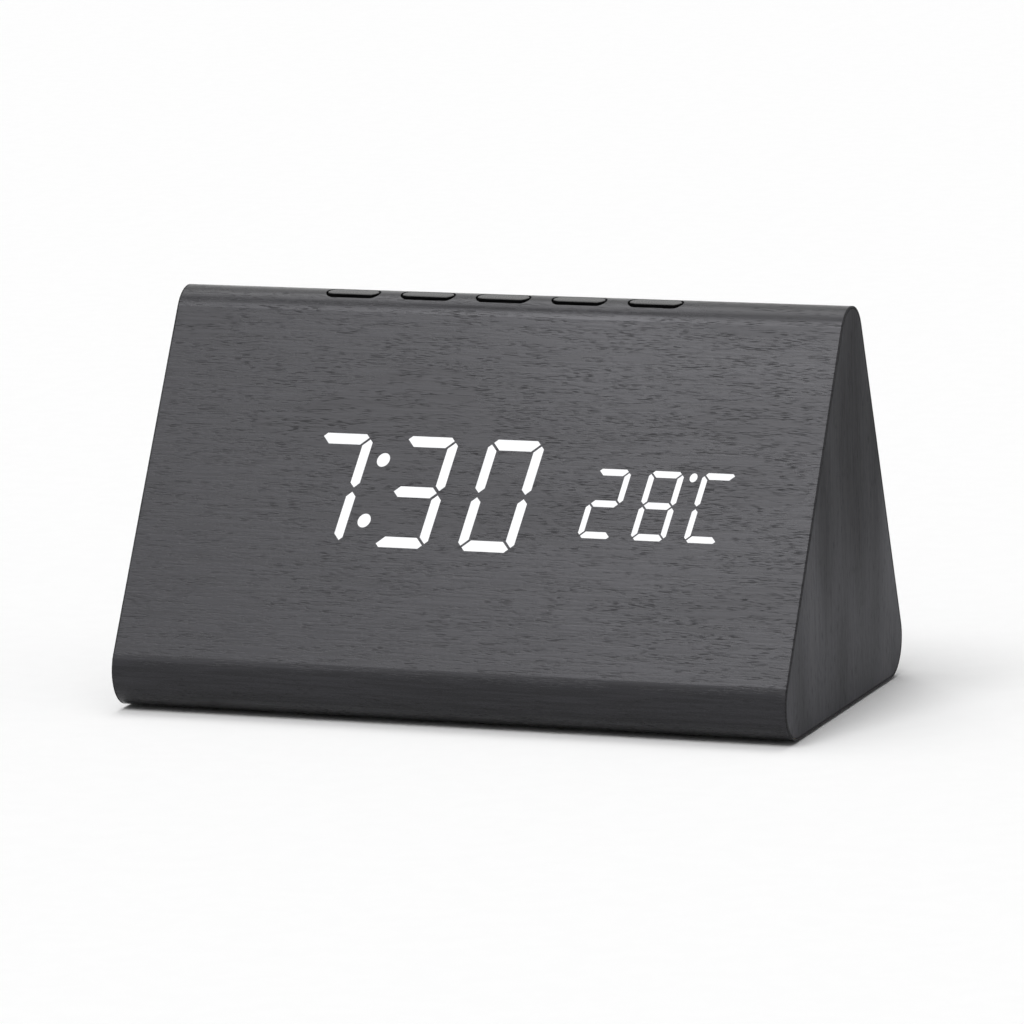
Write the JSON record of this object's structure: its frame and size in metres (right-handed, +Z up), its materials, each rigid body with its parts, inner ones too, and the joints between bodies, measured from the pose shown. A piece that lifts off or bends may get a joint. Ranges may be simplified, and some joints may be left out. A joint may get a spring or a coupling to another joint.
{
  "type": "digital led desk clock",
  "caption": "Triangular-prism LED desk clock in black woodgrain film, with slanted seven-segment time and temperature on its sloping front and a row of pill buttons along the ridge.",
  "frame": {"origin": "on the table, under the middle of the base", "axes": "+Z up, +X to the right as one faces the display, display side towards -Y"},
  "size_m": [0.15, 0.082, 0.085],
  "materials": {
    "woodgrain_film": "embossed woodgrain",
    "mdf": "sanded fibreboard",
    "cap_abs": "satin",
    "black_abs": "fine texture",
    "white_abs": "moulded",
    "lit_resin": "lit white",
    "clear_resin": "milky",
    "led_resin": "phosphor",
    "circuit_board": "solder mask",
    "chip_resin": "moulded",
    "capacitor_can": "sleeved",
    "lead_pvc": "extruded",
    "cell_jacket": "sleeved",
    "zinc_steel": "zinc plated",
    "nickel_steel": "nickel plated",
    "inlet_brass": "turned",
    "foam_rubber": "cut foam"
  },
  "bodies": {
    "housing": {"mdf_sleeve": "mdf", "left_end_board": "mdf", "right_end_board": "mdf", "veneer_wrap": "woodgrain_film", "left_end_veneer": "woodgrain_film", "right_end_veneer": "woodgrain_film", "base_plate": "black_abs", "base_screws": "zinc_steel", "foot_pads": "foam_rubber", "display_reflector": "white_abs", "lit_segments": "lit_resin", "unlit_segments": "clear_resin", "segment_leds": "led_resin", "main_board": "circuit_board", "main_board_screws": "zinc_steel", "controller_chip": "chip_resin", "driver_chip": "chip_resin", "clock_crystal": "nickel_steel", "buzzer": "black_abs", "coin_cell_holder": "black_abs", "coin_cell": "nickel_steel", "capacitors": "capacitor_can", "board_connectors": "white_abs", "ribbon_cable": "lead_pvc", "battery_lead": "lead_pvc", "inlet_lead": "lead_pvc", "sensor_lead": "lead_pvc", "button_carrier": "black_abs", "carrier_screws": "zinc_steel", "button_board": "circuit_board", "button_board_screws": "zinc_steel", "switch_bodies": "chip_resin", "battery_box": "black_abs", "battery_box_screws": "zinc_steel", "battery_plates": "nickel_steel", "battery_springs": "nickel_steel", "aaa_cells": "cell_jacket", "dc_inlet": "black_abs", "inlet_pin": "inlet_brass", "inlet_nut": "nickel_steel", "temperature_sensor": "chip_resin"},
    "set_button": {"set_button": "cap_abs", "set_plunger": "chip_resin"},
    "up_button": {"up_button": "cap_abs", "up_plunger": "chip_resin"},
    "down_button": {"down_button": "cap_abs", "down_plunger": "chip_resin"},
    "alarm_button": {"alarm_button": "cap_abs", "alarm_plunger": "chip_resin"},
    "snooze_button": {"snooze_button": "cap_abs", "snooze_plunger": "chip_resin"},
    "battery_door": {"battery_door": "black_abs"}
  },
  "joints": [
    {"name": "set_press", "type": "slide", "parent": "housing", "child": "set_button", "axis": [0, 0, -1], "range_m": [0, 0.0005], "stiffness_N_per_m": 3000},
    {"name": "up_press", "type": "slide", "parent": "housing", "child": "up_button", "axis": [0, 0, -1], "range_m": [0, 0.0005], "stiffness_N_per_m": 3000},
    {"name": "down_press", "type": "slide", "parent": "housing", "child": "down_button", "axis": [0, 0, -1], "range_m": [0, 0.0005], "stiffness_N_per_m": 3000},
    {"name": "alarm_press", "type": "slide", "parent": "housing", "child": "alarm_button", "axis": [0, 0, -1], "range_m": [0, 0.0005], "stiffness_N_per_m": 3000},
    {"name": "snooze_press", "type": "slide", "parent": "housing", "child": "snooze_button", "axis": [0, 0, -1], "range_m": [0, 0.0005], "stiffness_N_per_m": 3000},
    {"name": "battery_door_hinge", "type": "hinge", "parent": "housing", "child": "battery_door", "pos_m": [0, 0.03518, 0.02178], "axis": [-1, 0, 0], "range_deg": [0, 85]}
  ]
}
